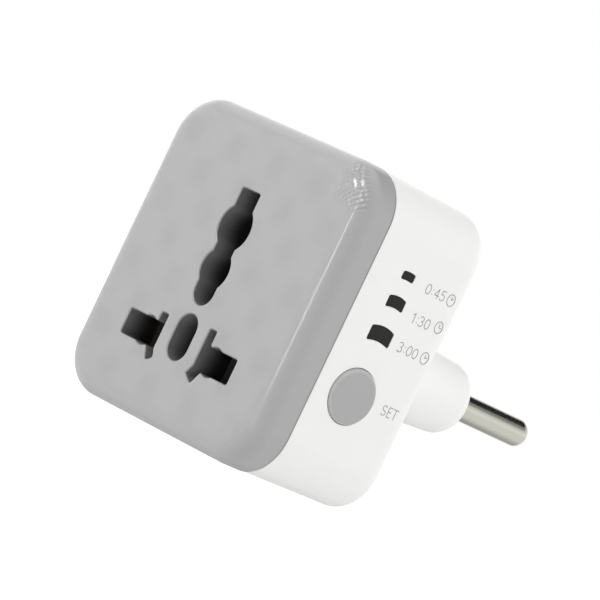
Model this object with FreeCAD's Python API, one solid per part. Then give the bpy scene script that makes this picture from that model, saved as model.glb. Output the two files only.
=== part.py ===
import FreeCAD, Part
from FreeCAD import Vector
import math
import os

# Plug-in countdown timer: a square socket face on a white housing whose neck carries two round pins.
# The origin is at the plug's engagement face, midway between the pins. +Y points into the wall, +Z up,
# and +X is the side with the windows and the button. Inside the body a place is given as x, depth behind
# the front face and height above the body's centre. All sizes are in millimetres.

# Body
body_width = 54.0
body_height = 54.0
body_depth = 29.9
corner_radius = 8.4
front_edge_radius = 3.6
back_edge_radius = 3.3
cover_depth = 7.1
front_wall = 2.4
wall = 2.0
back_wall = 2.0
parting_step = 0.12
back_draft = 0.6
parting_bevel = 0.2
lip_length = 2.4
lip_thickness = 0.85
lip_clearance = 0.1

# Plug
neck_length = 20.0
neck_arc_offset = 10.6
neck_root_radius = 7.4
neck_tip_radius = 6.1
neck_edge_radius = 3.2
neck_wall = 1.8
neck_end_wall = 2.4
pin_diameter = 4.8
pin_length = 19.0
pin_pitch = 19.0
pin_drop = 2.5
pin_tip_radius = 1.9
pin_hole_clearance = 0.05
pin_shoulder_width = 0.35
pin_flange_width = 0.75
pin_flange_thickness = 1.6
pin_shank_radius = 2.0
pin_shank_length = 6.6
pin_cup_radius = 0.9
pin_cup_depth = 4.0
insert_length = 5.2
insert_clearance = 0.1

# Holes of the socket face, measured from the body's centre
line_height = -13.2
round_pitch = 19.0
round_hole_radius = 2.6
bar_hole_inner = 6.6
bar_hole_outer = 15.35
bar_hole_height = 4.5
blade_centre = 6.58
blade_width = 1.95
blade_bottom = -16.0
live_blade_top = -8.3
neutral_blade_top = -9.25
slant_angle = 30.0
slant_centre = 7.1
slant_height = -14.7
slant_length = 5.8
live_slant_width = 2.4
neutral_slant_width = 1.85
earth_top = 14.9
earth_bar_width = 5.0
upper_lobe_height = 8.25
upper_lobe_radius = 4.1
lower_lobe_height = 0.75
lower_lobe_radius = 3.64
earth_foot_radius = 2.6
earth_foot_bottom = -5.75
middle_slot_radius = 2.58
middle_slot_top = -7.46
middle_slot_bottom = -15.75
hole_corner_radius = 0.45
hole_edge_bevel = 0.2
guide_wall = 1.2
guide_depth = 9.0

# Windows and button on the right side
side_depth = 15.5
window_heights = (13.02, 8.31, 2.54)
window_widths = (2.9, 4.03, 5.25)
window_tallness = (1.65, 2.44, 3.19)
window_arches = (0.16, 0.37, 0.5)
window_corner_radius = 0.35
lens_clearance = 0.08
lens_recess = 0.15
lens_thickness = 0.9
lens_gap = 0.2
lens_margin = 1.1
button_height = -8.37
button_radius = 4.8
button_proud = 0.35
button_travel = 0.5
button_clearance = 0.12
button_edge_radius = 0.35
button_flange_width = 1.0
button_flange_thickness = 0.9
button_flange_gap = 0.12
button_skin = 1.2
button_side_wall = 1.2
button_stem_radius = 1.5

# Boards
board_thickness = 1.6
board_back_space = 4.3
board_gap = 0.5
display_board_thickness = 1.2
display_board_top = 15.1
display_board_bottom = -13.0
display_board_start = 11.2
baffle_length = 4.5
baffle_wall = 0.9
baffle_margin = 0.2
lead_hole_clearance = 0.1
lead_tail = 1.1

# Screws and their wells
screw_inset = 7.6
screw_radius = 1.3
screw_length = 11.5
screw_head_radius = 2.3
screw_head_height = 1.8
screw_clearance = 0.1
boss_radius = 3.0
well_radius = 2.5
well_floor = 1.8
recess_width = 0.7
recess_length = 2.6
recess_depth = 0.9

# Contact carrier and contacts
carrier_wall = 1.2
carrier_clearance = 0.1
boss_clearance = 0.3
chamber_inner = 4.4
chamber_outer = 15.5
chamber_half_height = 4.15
guest_pin_reach = 19.6
contact_mouth_depth = 10.0
contact_throat_depth = 13.5
contact_belly_depth = 16.8
contact_thickness = 0.6
contact_bend = 1.2
contact_mouth = 3.3
contact_throat = 1.75
contact_belly = 2.9
contact_inner = 7.4
contact_outer = 14.8
contact_wall_gap = 0.2
blade_leaf_bow = 0.9
blade_leaf_hold = 1.5
blade_leaf_width = 4.6
tab_width = 3.0
tab_centre = 12.2
tab_thickness = 0.8

# Inner components
relay_size = (15.4, 15.2, 19.0)
relay_centre_height = 6.3
relay_wall_gap = 1.4
relay_lead_spread = (6.0, 7.0)
relay_blade = (0.9, 0.5)
case_edge_radius = 0.6
film_size = (6.0, 12.0, 13.0)
film_place = (9.6, 17.0)
film_lead_pitch = 10.0
electrolytic_radius = 4.0
electrolytic_length = 11.5
electrolytic_place = (11.6, 4.6)
electrolytic_lead_pitch = 3.5
can_bevel = 0.5
can_groove_depth = 0.4
can_groove_width = 1.2
can_groove_stand = 2.2
varistor_radius = 3.5
varistor_thickness = 3.4
varistor_bevel = 0.8
varistor_place = (14.9, 13.3)
varistor_stand = 1.2
varistor_lead_pitch = 4.0
resistor_size = (3.2, 0.6, 6.4)
resistor_places = ((-8.2, 20.0), (-3.6, 20.0))
resistor_cap = 0.9
fuse_radius = 1.9
fuse_length = 9.6
fuse_place = (-20.4, -10.2)
fuse_bevel = 0.45
lead_bend_reach = 0.8
lead_bend_radius = 0.7
wire_radius = 0.3
chip_size = (8.6, 1.5, 3.9)
chip_place = (-4.0, 9.0)
chip_legs_per_side = 7
chip_leg_pitch = 1.27
rectifier_size = (4.8, 2.4, 3.9)
rectifier_place = (0.0, 0.5)
rectifier_leg_pitch = 2.54
transistor_size = (2.9, 1.1, 1.5)
transistor_place = (-15.4, 6.3)
transistor_leg_pitch = 1.9
zener_size = (2.6, 2.1, 4.3)
zener_place = (-14.0, -8.0)
leg_width = 0.42
leg_reach = 1.0
leg_thickness = 0.25
package_gap = 0.1
package_bevel = 0.3
led_radius = 1.5
led_flange_radius = 1.9
led_flange_thickness = 0.9
led_length = 4.1
led_clearance = 0.1
switch_size = 6.0
switch_body_length = 3.5
switch_bevel = 0.4
plunger_radius = 1.7
plunger_length = 0.9
plunger_depth = 1.3
plunger_clearance = 0.06
board_tab_length = 5.0
board_tab_places = (-8.6, 11.4)
board_tab_reach = 1.2
lead_radius = 1.15
lead_core_radius = 0.6
lead_landing = (7.2, -5.2)
lead_stop = 1.0
lead_cup_reach = 3.2

# Places that follow from the sizes above
front_y = -(neck_length + body_depth)
body_z = pin_drop
half_width = body_width / 2
half_height = body_height / 2
board_back = body_depth - back_wall - board_back_space
board_front = board_back - board_thickness
pin_shoulder_radius = pin_diameter / 2 + pin_shoulder_width
pin_flange_radius = pin_shoulder_radius + pin_flange_width
button_flange_radius = button_radius + button_flange_width
button_bore_radius = button_radius - button_side_wall
along_y = Vector(0, 1, 0)
along_x = Vector(1, 0, 0)


def draft(depth):
    """How far the housing's sides have drawn in at a depth."""
    share = max(0.0, (depth - cover_depth) / (body_depth - cover_depth))
    return parting_step + (back_draft - parting_step) * share


def place(x, depth, height):
    return Vector(x, front_y + depth, body_z + height)


def box(x, depth, height):
    size = (x[1] - x[0], depth[1] - depth[0], height[1] - height[0])
    return Part.makeBox(*size, place(x[0], depth[0], height[0]))


def rod_along_depth(radius, x, height, depth):
    return Part.makeCylinder(radius, depth[1] - depth[0], place(x, depth[0], height), along_y)


def rod_along_x(radius, depth, height, x):
    return Part.makeCylinder(radius, x[1] - x[0], place(x[0], depth, height), along_x)


def fused(shapes):
    whole = shapes[0]
    if len(shapes) > 1:
        whole = whole.fuse(shapes[1:])
    return whole.removeSplitter()


def side_inner_face(depth):
    """x of the inner face of the housing's right wall."""
    return half_width - draft(depth) - wall


screw_x = half_width - screw_inset
screw_height = half_height - screw_inset
screw_places = [(sx * screw_x, sz * screw_height) for sx in (-1, 1) for sz in (-1, 1)]
lens_outer_face = side_inner_face(side_depth) - lens_gap
lens_inner_face = lens_outer_face - lens_thickness
display_board_face = lens_inner_face - baffle_length
display_board_rear = display_board_face - display_board_thickness
switch_top = display_board_face + switch_body_length
button_rest_back = side_inner_face(side_depth + button_flange_radius) - button_flange_gap


# Outlines

def rounded_outline(half_w, half_h, radius, depth):
    """Rounded rectangle across the body at a depth."""
    bevel = radius * (1 - math.sqrt(0.5))
    arcs = []
    for sx, sz in ((1, 1), (-1, 1), (-1, -1), (1, -1)):
        side = place(sx * half_w, depth, sz * (half_h - radius))
        middle = place(sx * (half_w - bevel), depth, sz * (half_h - bevel))
        top = place(sx * (half_w - radius), depth, sz * half_h)
        first, last = (side, top) if sx * sz > 0 else (top, side)
        arcs.append((first, middle, last))
    edges = []
    for number, (first, middle, last) in enumerate(arcs):
        following = arcs[(number + 1) % len(arcs)][0]
        edges.append(Part.Arc(first, middle, last).toShape())
        edges.append(Part.LineSegment(last, following).toShape())
    return Part.Wire(edges)


def body_outline(inset, depth):
    return rounded_outline(half_width - inset, half_height - inset, corner_radius - inset, depth)


def straight_block(inset, depth):
    """The body's outline carried square to the face, from one depth to another."""
    return Part.Face(body_outline(inset, depth[0])).extrude(Vector(0, depth[1] - depth[0], 0))


def drafted_block(inset, depth):
    """The body's outline carried back along its draft."""
    ends = [body_outline(inset + draft(d), d) for d in depth]
    return Part.makeLoft(ends, True, True)


def stadium_outline(offset, radius, y):
    """Two half circles, level with the pins, joined by straight lines."""
    right_top = Vector(offset, y, radius)
    right_end = Vector(offset + radius, y, 0)
    right_foot = Vector(offset, y, -radius)
    left_foot = Vector(-offset, y, -radius)
    left_end = Vector(-offset - radius, y, 0)
    left_top = Vector(-offset, y, radius)
    return Part.Wire([
        Part.Arc(right_foot, right_end, right_top).toShape(),
        Part.LineSegment(right_top, left_top).toShape(),
        Part.Arc(left_top, left_end, left_foot).toShape(),
        Part.LineSegment(left_foot, right_foot).toShape(),
    ])


def neck_radius(y):
    """Half height of the neck's outside, before its end is rounded."""
    return neck_tip_radius + (neck_root_radius - neck_tip_radius) * (-y / neck_length)


def neck_block(inset, y):
    ends = [stadium_outline(neck_arc_offset, neck_radius(end) - inset, end) for end in y]
    return Part.makeLoft(ends, True, True)


def rounded_path(points, radius):
    """Straight runs joined by tangent arcs."""
    edges = []
    last = points[0]
    for before, corner, after in zip(points, points[1:], points[2:]):
        back = (before - corner).normalize()
        ahead = (after - corner).normalize()
        turn = math.pi - back.getAngle(ahead)
        shorter = min((before - corner).Length, (after - corner).Length)
        bend = min(radius, 0.45 * shorter / math.tan(turn / 2))
        cutback = bend * math.tan(turn / 2)
        middle = corner + (back + ahead).normalize() * (bend / math.cos(turn / 2) - bend)
        start = corner + back * cutback
        end = corner + ahead * cutback
        edges.append(Part.LineSegment(last, start).toShape())
        edges.append(Part.Arc(start, middle, end).toShape())
        last = end
    edges.append(Part.LineSegment(last, points[-1]).toShape())
    return Part.Wire(edges)


def bent_strip(points, radius, thickness, width):
    """A strip of sheet bent along a path, the thickness laid on its outer side."""
    profile = rounded_path(points, radius).makeOffset2D(thickness, 0, True, True)
    return profile.Faces[0].extrude(width)


def edges_on_plane(shape, y):
    return [e for e in shape.Edges if abs(e.BoundBox.YMin - y) < 1e-4 and abs(e.BoundBox.YMax - y) < 1e-4]


def sharp_edges_along(shape, direction):
    """Straight edges along a direction where two faces meet at an angle."""
    found = []
    for edge in shape.Edges:
        if len(edge.Vertexes) != 2:
            continue
        run = edge.Vertexes[1].Point - edge.Vertexes[0].Point
        if run.Length < 1e-6 or run.cross(direction).Length > 1e-6 * run.Length:
            continue
        middle = edge.valueAt((edge.FirstParameter + edge.LastParameter) / 2)
        normals = []
        for face in shape.ancestorsOfType(edge, Part.Face):
            normals.append(face.normalAt(*face.Surface.parameter(middle)))
        if len(normals) == 2 and normals[0].getAngle(normals[1]) > math.radians(10):
            found.append(edge)
    return found


# Holes of the socket face: each is the union of the holes that single kinds of pin need

def side_hole(side, depth, grow):
    """The live hole (side 1) or neutral hole (side -1), widened all round by grow."""
    bar = sorted((side * (bar_hole_inner - grow), side * (bar_hole_outer + grow)))
    half_bar = bar_hole_height / 2 + grow
    half_blade = blade_width / 2 + grow
    blade = sorted((side * (blade_centre - half_blade), side * (blade_centre + half_blade)))
    blade_top = live_blade_top if side > 0 else neutral_blade_top
    slant_width = live_slant_width if side > 0 else neutral_slant_width
    half_slant = slant_width / 2 + grow
    slant = box((-half_slant, half_slant), depth, (-slant_length / 2 - grow, slant_length / 2 + grow))
    slant.rotate(place(0, 0, 0), along_y, side * slant_angle)
    slant.translate(Vector(side * slant_centre, 0, slant_height))
    return fused([
        box(bar, depth, (line_height - half_bar, line_height + half_bar)),
        rod_along_depth(round_hole_radius + grow, side * round_pitch / 2, line_height, depth),
        box(blade, depth, (blade_bottom - grow, blade_top + grow)),
        slant,
    ])


def middle_hole(depth, grow):
    """The upright slot between the live and neutral holes."""
    radius = middle_slot_radius + grow
    top = middle_slot_top - middle_slot_radius
    bottom = middle_slot_bottom + middle_slot_radius
    return fused([
        rod_along_depth(radius, 0, top, depth),
        box((-radius, radius), depth, (bottom, top)),
        rod_along_depth(radius, 0, bottom, depth),
    ])


def earth_hole(depth, grow):
    """Flat-topped bar, two round lobes and a rounded foot in one opening."""
    half_bar = earth_bar_width / 2 + grow
    foot_centre = earth_foot_bottom + earth_foot_radius
    foot = earth_foot_radius + grow
    return fused([
        box((-half_bar, half_bar), depth, (lower_lobe_height, earth_top + grow)),
        rod_along_depth(upper_lobe_radius + grow, 0, upper_lobe_height, depth),
        rod_along_depth(lower_lobe_radius + grow, 0, lower_lobe_height, depth),
        box((-foot, foot), depth, (foot_centre, lower_lobe_height)),
        rod_along_depth(foot, 0, foot_centre, depth),
    ])


def socket_holes(depth, grow):
    sides = [side_hole(side, depth, grow) for side in (1, -1)]
    return sides + [middle_hole(depth, grow), earth_hole(depth, grow)]


def softened(hole):
    """The hole with rounded corners: its outline is spread, drawn in and spread back."""
    low = hole.BoundBox.YMin
    outline = next(f for f in hole.Faces if f.BoundBox.YMax - low < 1e-5)
    for step in (hole_corner_radius, -2 * hole_corner_radius, hole_corner_radius):
        outline = outline.makeOffset2D(step, 0, False, False)
    return outline.extrude(Vector(0, hole.BoundBox.YLength, 0))


# Leads of the components that stand on the front of the main board: x, height and radius

def lead_pair(centre, pitch, upright):
    """Two leads in line with a component's middle."""
    x, height = centre
    if upright:
        return [(x, height - pitch / 2, wire_radius), (x, height + pitch / 2, wire_radius)]
    return [(x - pitch / 2, height, wire_radius), (x + pitch / 2, height, wire_radius)]


def component_leads():
    return {
        "film": lead_pair(film_place, film_lead_pitch, True),
        "electrolytic": lead_pair(electrolytic_place, electrolytic_lead_pitch, False),
        "varistor": lead_pair(varistor_place, varistor_lead_pitch, True),
        "fuse": lead_pair(fuse_place, fuse_length + 2 * lead_bend_reach, True),
    }


def relay_blades(grow, depth):
    """Flat terminals of the relay: four at its corners and one between the lower two."""
    x, height = relay_place()
    across, up = relay_lead_spread
    half_w, half_t = relay_blade[0] / 2 + grow, relay_blade[1] / 2 + grow
    blades = []
    for dx, dh in ((-across, -up), (across, -up), (0.0, -up), (-across, up), (across, up)):
        blades.append(box((x + dx - half_w, x + dx + half_w), depth,
                          (height + dh - half_t, height + dh + half_t)))
    return blades


def board_tabs(grow, depth):
    """Tabs of the display board that stand in slots of the main board."""
    half = board_tab_length / 2 + grow
    x = (display_board_rear - grow, display_board_face + grow)
    return [box(x, depth, (middle - half, middle + half)) for middle in board_tab_places]


def relay_place():
    """x and height of the relay's centre: it stands off the housing's left wall."""
    outer = side_inner_face(board_front) - relay_wall_gap
    return -(outer - relay_size[0] / 2), relay_centre_height


def tails(leads, start):
    """Round leads from a depth in the component, through the board, to their cut ends."""
    depth = (start, board_back + lead_tail)
    return [rod_along_depth(radius, x, height, depth) for x, height, radius in leads]


# Covers

def front_cover():
    shell = straight_block(0, (0, cover_depth))
    shell = shell.makeFillet(front_edge_radius, edges_on_plane(shell, front_y))
    shell = shell.makeChamfer(parting_bevel, edges_on_plane(shell, front_y + cover_depth))
    hollow = straight_block(wall, (front_wall, cover_depth + 1))
    hollow = hollow.makeChamfer(front_edge_radius - wall, edges_on_plane(hollow, front_y + front_wall))
    rebate_inset = wall - lip_thickness - lip_clearance
    rebate = straight_block(rebate_inset, (cover_depth - lip_length - lip_clearance, cover_depth + 1))
    shell = shell.cut([hollow, rebate])
    guides = socket_holes((front_wall / 2, guide_depth), guide_wall)
    bosses = [rod_along_depth(boss_radius, x, height, (front_wall / 2, board_front))
              for x, height in screw_places]
    shell = fused([shell] + guides + bosses)
    holes = [softened(hole) for hole in socket_holes((-1, guide_depth + 1), 0)]
    pilot_depth = (board_front - screw_length, board_front + 1)
    pilots = [rod_along_depth(screw_radius + screw_clearance / 2, x, height, pilot_depth)
              for x, height in screw_places]
    shell = shell.cut(holes + pilots)
    face_edge = half_width - front_edge_radius
    rims = [e for e in edges_on_plane(shell, front_y)
            if e.BoundBox.XMin > -face_edge + 0.1 and e.BoundBox.XMax < face_edge - 0.1
            and e.BoundBox.ZMin > body_z - face_edge + 0.1 and e.BoundBox.ZMax < body_z + face_edge - 0.1]
    return shell.makeChamfer(hole_edge_bevel, rims)


def rear_housing():
    body = drafted_block(0, (cover_depth, body_depth))
    body = body.makeFillet(back_edge_radius, edges_on_plane(body, -neck_length))
    body = body.makeChamfer(parting_bevel, edges_on_plane(body, front_y + cover_depth))
    neck = neck_block(0, (-neck_length - back_wall / 2, 0))
    neck = neck.makeFillet(neck_edge_radius, edges_on_plane(neck, 0))
    lip = straight_block(wall - lip_thickness, (cover_depth - lip_length, cover_depth + 1))
    hollow = drafted_block(wall, (cover_depth, body_depth - back_wall))
    mouth = straight_block(wall, (cover_depth - lip_length - 1, cover_depth + 1))
    passage = neck_block(neck_wall, (-neck_length - back_wall - 1, -neck_end_wall))
    shell = fused([body, neck, lip]).cut([hollow, mouth, passage])
    bosses = [rod_along_depth(boss_radius, x, height, (board_back, body_depth - back_wall / 2))
              for x, height in screw_places]
    shell = fused([shell] + bosses)
    wells = [rod_along_depth(well_radius, x, height, (board_back + well_floor, body_depth + 1))
             for x, height in screw_places]
    passes = [rod_along_depth(screw_radius + screw_clearance, x, height, (board_back - 1, body_depth + 1))
              for x, height in screw_places]
    pins = []
    for side in (-1, 1):
        start = Vector(side * pin_pitch / 2, -neck_end_wall - 1, 0)
        pins.append(Part.makeCylinder(pin_shoulder_radius + pin_hole_clearance,
                                      neck_end_wall + 2, start, along_y))
    through_side = (side_inner_face(side_depth) - 1, half_width + 1)
    windows = [window_pad(number, 0, through_side) for number in range(len(window_heights))]
    button_hole = rod_along_x(button_radius + button_clearance, side_depth, button_height, through_side)
    return shell.cut(wells + passes + pins + windows + [button_hole])


def window_pad(number, shrink, x):
    """A window's shape through the side wall: upright sides, top and bottom arched alike."""
    half = window_widths[number] / 2 - shrink
    tall = window_tallness[number] / 2 - shrink
    arch = window_arches[number]
    middle = window_heights[number]

    def at(along, up):
        return place(x[0], side_depth + along, middle + up)

    corners = [at(-half, -tall), at(half, -tall), at(half, tall - arch), at(-half, tall - arch)]
    face = Part.Face(Part.Wire([
        Part.Arc(corners[0], at(0, arch - tall), corners[1]).toShape(),
        Part.LineSegment(corners[1], corners[2]).toShape(),
        Part.Arc(corners[2], at(0, tall), corners[3]).toShape(),
        Part.LineSegment(corners[3], corners[0]).toShape(),
    ]))
    pad = face.extrude(Vector(x[1] - x[0], 0, 0))
    return pad.makeFillet(window_corner_radius - shrink, sharp_edges_along(pad, along_x))


def housing_screws():
    """Four equal screws, heads at the bottom of their wells."""
    seat = board_back + well_floor
    top = seat + screw_head_height
    half = recess_width / 2
    reach = recess_length / 2
    floor = (top - recess_depth, top + 1)
    screws = []
    for x, height in screw_places:
        head = rod_along_depth(screw_head_radius, x, height, (seat, top))
        head = head.makeChamfer(screw_head_height / 3, edges_on_plane(head, front_y + top))
        shank = rod_along_depth(screw_radius, x, height, (seat - screw_length, top - recess_depth))
        cross = [box((x - half, x + half), floor, (height - reach, height + reach)),
                 box((x - reach, x + reach), floor, (height - half, height + half))]
        screws.append(head.fuse(shank).removeSplitter().cut(cross))
    return Part.makeCompound(screws)


# Plug

def plug_pin(side):
    """Round pin with a rounded tip, a shoulder that fills the end wall, a flange and a hollow end."""
    x = side * pin_pitch / 2
    flange_back = -neck_end_wall - pin_flange_thickness
    shank_end = flange_back - pin_shank_length
    seat = Vector(x, -neck_end_wall, 0)
    pin = Part.makeCylinder(pin_diameter / 2, pin_length + neck_end_wall, seat, along_y)
    pin = pin.makeFillet(pin_tip_radius, edges_on_plane(pin, pin_length))
    shoulder = Part.makeCylinder(pin_shoulder_radius, neck_end_wall, seat, along_y)
    flange = Part.makeCylinder(pin_flange_radius, pin_flange_thickness, Vector(x, flange_back, 0), along_y)
    shank = Part.makeCylinder(pin_shank_radius, pin_shank_length, Vector(x, shank_end, 0), along_y)
    cup = Part.makeCylinder(pin_cup_radius, pin_cup_depth, Vector(x, shank_end, 0), along_y)
    return fused([pin, shoulder, flange, shank]).cut(cup)


def plug_insert():
    """Insulating block that locks the pins' flanges against the neck's end wall."""
    front = -neck_end_wall - pin_flange_thickness
    block = neck_block(neck_wall + insert_clearance, (front - insert_length, front))
    bores = [Part.makeCylinder(pin_shank_radius + pin_hole_clearance, insert_length + 2,
                               Vector(side * pin_pitch / 2, front - insert_length - 1, 0), along_y)
             for side in (-1, 1)]
    return block.cut(bores)


def lead_route(side):
    """From the pin's solder end, in a gentle double bend, to the back of the board."""
    x = side * pin_pitch / 2
    cup_mouth = -neck_end_wall - pin_flange_thickness - pin_shank_length
    landing_x, landing_height = side * lead_landing[0], lead_landing[1]
    board_y = front_y + board_back
    run = (cup_mouth - board_y) / 4
    return [
        Vector(x, cup_mouth, 0),
        Vector(x, cup_mouth - run, 0),
        Vector(landing_x, board_y + run, body_z + landing_height),
        Vector(landing_x, board_y + lead_stop, body_z + landing_height),
    ]


def pin_lead(side):
    """Insulated lead with bare ends in the pin's cup and the board's hole."""
    route = lead_route(side)
    path = rounded_path(route, body_depth)
    start = Part.Wire([Part.Circle(route[0], along_y, lead_radius).toShape()])
    cover = path.makePipeShell([start], True, True)
    first = route[0] - Vector(0, lead_core_radius, 0)
    last = route[-1] + Vector(0, lead_core_radius, 0)
    into_cup = lead_core_radius + lead_cup_reach
    through_board = lead_core_radius + lead_stop + board_thickness + lead_tail
    cup_end = Part.makeCylinder(lead_core_radius, into_cup, first, along_y)
    board_end = Part.makeCylinder(lead_core_radius, through_board, last, -along_y)
    return fused([cover, cup_end, board_end])


# Contacts and their carrier

def contact_carrier():
    """Insulating block with a chamber for each spring contact and wells for the other pins."""
    depth = (guide_depth, board_front)
    half_lower = chamber_half_height + carrier_wall
    lower = box((-chamber_outer - carrier_wall, chamber_outer + carrier_wall), depth,
                (line_height - half_lower, line_height + half_lower))
    upper_half = upper_lobe_radius + carrier_wall + carrier_clearance
    upper = box((-upper_half, upper_half), depth, (line_height, earth_top + carrier_wall))
    block = fused([lower, upper])
    block = block.makeFillet(carrier_wall, sharp_edges_along(block, along_y))
    floor = guest_pin_reach + contact_thickness + carrier_clearance
    chambers = []
    for side in (-1, 1):
        x = sorted((side * chamber_inner, side * chamber_outer))
        chambers.append(box(x, (guide_depth - 1, floor),
                            (line_height - chamber_half_height, line_height + chamber_half_height)))
        chambers.append(contact_tab(side, carrier_clearance, (floor - 1, board_front + 1)))
    well_depth = (guide_depth - 1, floor)
    wells = [earth_hole(well_depth, carrier_clearance), middle_hole(well_depth, carrier_clearance)]
    corners = [rod_along_depth(boss_radius + boss_clearance, x, height, (guide_depth - 1, board_front + 1))
               for x, height in screw_places]
    return block.cut(chambers + wells + corners)


def contact_tab(side, grow, depth):
    x = sorted((side * (tab_centre - tab_width / 2 - grow), side * (tab_centre + tab_width / 2 + grow)))
    half = tab_thickness / 2 + grow
    return box(x, depth, (line_height - half, line_height + half))


def spring_contact(side):
    """Two sprung leaves above and below the pin, one beside it for flat blades, and a solder tab."""
    mouth, throat, belly = contact_mouth_depth, contact_throat_depth, contact_belly_depth
    base = guest_pin_reach
    upper = [(mouth, contact_mouth), (throat, contact_throat),
             (belly, contact_belly), (base, contact_belly)]
    lower = [(depth, -up) for depth, up in reversed(upper)]
    points = [place(contact_inner, depth, line_height + up) for depth, up in upper + lower]
    leaf_width = Vector(contact_outer - contact_inner, 0, 0)
    leaves = bent_strip(points, contact_bend, -contact_thickness, leaf_width)
    leaf_foot = line_height - blade_leaf_width / 2
    beside = chamber_inner + contact_wall_gap + contact_thickness
    leaf_points = [place(x, depth, leaf_foot) for x, depth in (
        (contact_inner + blade_leaf_hold, base), (beside, base), (beside, belly),
        (beside + blade_leaf_bow, throat), (beside, mouth))]
    leaf = bent_strip(leaf_points, contact_bend, contact_thickness, Vector(0, 0, blade_leaf_width))
    tab = contact_tab(1, 0, (base, board_back + lead_tail))
    contact = fused([leaves, leaf, tab])
    if side < 0:
        contact = contact.mirror(Vector(0, 0, 0), along_x)
    return contact


# Boards

def main_board():
    edge = draft(board_back) + wall + board_gap
    through = (board_front - 1, board_back + 1)
    board = straight_block(edge, (board_front, board_back))
    cuts = [rod_along_depth(screw_radius + 2 * screw_clearance, x, height, through)
            for x, height in screw_places]
    for leads in component_leads().values():
        cuts += [rod_along_depth(radius + lead_hole_clearance, x, height, through)
                 for x, height, radius in leads]
    cuts += relay_blades(lead_hole_clearance, through)
    cuts += board_tabs(lead_hole_clearance, through)
    for side in (-1, 1):
        cuts.append(contact_tab(side, lead_hole_clearance, through))
        cuts.append(rod_along_depth(lead_core_radius + lead_hole_clearance, side * lead_landing[0],
                                    lead_landing[1], through))
    return board.cut(cuts)


def display_board():
    """Upright board behind the windows and the button, its tabs standing in the main board."""
    board = box((display_board_rear, display_board_face), (display_board_start, board_front),
                (display_board_bottom, display_board_top))
    return fused([board] + board_tabs(0, (board_front - 1, board_back + board_tab_reach)))


# Components on the main board

def block_on_board(centre, size):
    """Case standing on the front of the main board, its outer end rounded."""
    x, height = centre
    width, length, tallness = size
    case = box((x - width / 2, x + width / 2), (board_front - length, board_front),
               (height - tallness / 2, height + tallness / 2))
    return case.makeFillet(case_edge_radius, edges_on_plane(case, front_y + board_front - length))


def relay_case():
    return block_on_board(relay_place(), relay_size)


def relay_terminals():
    return Part.makeCompound(relay_blades(0, (board_front, board_back + lead_tail)))


def film_capacitor():
    leads = tails(component_leads()["film"], board_front - 1)
    return fused([block_on_board(film_place, film_size)] + leads)


def electrolytic_capacitor():
    """Can turned from its profile: bevelled top and a rolled groove near its foot."""
    x, height = electrolytic_place
    radius = electrolytic_radius
    top = board_front - electrolytic_length
    groove = board_front - can_groove_stand
    half = can_groove_width / 2
    profile = [(0, board_front), (radius, board_front), (radius, groove + half),
               (radius - can_groove_depth, groove), (radius, groove - half),
               (radius, top + can_bevel), (radius - can_bevel, top), (0, top)]
    points = [place(x + reach, depth, height) for reach, depth in profile]
    can = Part.Face(Part.makePolygon(points + points[:1])).revolve(place(x, 0, height), along_y, 360)
    return fused([can] + tails(component_leads()["electrolytic"], board_front - 1))


def varistor():
    """Coated disc standing on its two leads."""
    x, height = varistor_place
    centre = board_front - varistor_stand - varistor_radius
    half = varistor_thickness / 2
    disc = rod_along_x(varistor_radius, centre, height, (x - half, x + half))
    disc = disc.makeChamfer(varistor_bevel, rims_of(disc))
    return fused([disc] + tails(component_leads()["varistor"], centre))


def rims_of(shape):
    return [e for e in shape.Edges if len(e.Vertexes) == 1]


def dropper_resistors():
    """Two chip resistors on the back of the main board, with caps over their ends."""
    width, thickness, length = resistor_size
    chips = []
    for x, height in resistor_places:
        half_w, half_l = width / 2, length / 2
        pieces = [box((x - half_w + package_gap, x + half_w - package_gap),
                      (board_back + package_gap, board_back + thickness - package_gap),
                      (height - half_l + package_gap, height + half_l - package_gap))]
        for end in (-1, 1):
            cap = sorted((height + end * half_l, height + end * (half_l - resistor_cap)))
            pieces.append(box((x - half_w, x + half_w), (board_back, board_back + thickness), cap))
        chips.append(fused(pieces))
    return Part.makeCompound(chips)


def thermal_fuse():
    """Barrel lying on the board, held by the wire that runs through it and bends down at both ends."""
    leads = component_leads()["fuse"]
    ends = [place(x, board_front - fuse_radius, height) for x, height, _ in leads]
    feet = [place(x, board_back + lead_tail, height) for x, height, _ in leads]
    foot = ends[0] + Vector(0, 0, lead_bend_reach)
    barrel = Part.makeCylinder(fuse_radius, fuse_length, foot, Vector(0, 0, 1))
    barrel = barrel.makeChamfer(fuse_bevel, rims_of(barrel))
    start = Part.Wire([Part.Circle(feet[0], along_y, wire_radius).toShape()])
    route = rounded_path([feet[0], ends[0], ends[1], feet[1]], lead_bend_radius)
    return fused([barrel, route.makePipeShell([start], True, True)])


def flat_package(centre, size, legs):
    """Moulded package on the back of the main board; each leg is a distance along it and a side."""
    x, height = centre
    length, thickness, width = size
    seat = board_back + package_gap
    edge = width / 2
    body = box((x - length / 2, x + length / 2), (seat, seat + thickness), (height - edge, height + edge))
    body = body.makeChamfer(package_bevel, edges_on_plane(body, front_y + seat + thickness))
    pieces = [body]
    for along, side in legs:
        leg_x = (x + along - leg_width / 2, x + along + leg_width / 2)
        shoulder = sorted(height + side * step for step in (edge - leg_width, edge + leg_width))
        foot = sorted(height + side * step for step in (edge, edge + leg_reach))
        pieces.append(box(leg_x, (board_back, seat + thickness / 2), shoulder))
        pieces.append(box(leg_x, (board_back, board_back + leg_thickness), foot))
    return fused(pieces)


def timer_chip():
    middle = (chip_legs_per_side - 1) / 2
    legs = [((number - middle) * chip_leg_pitch, side)
            for number in range(chip_legs_per_side) for side in (-1, 1)]
    return flat_package(chip_place, chip_size, legs)


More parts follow.
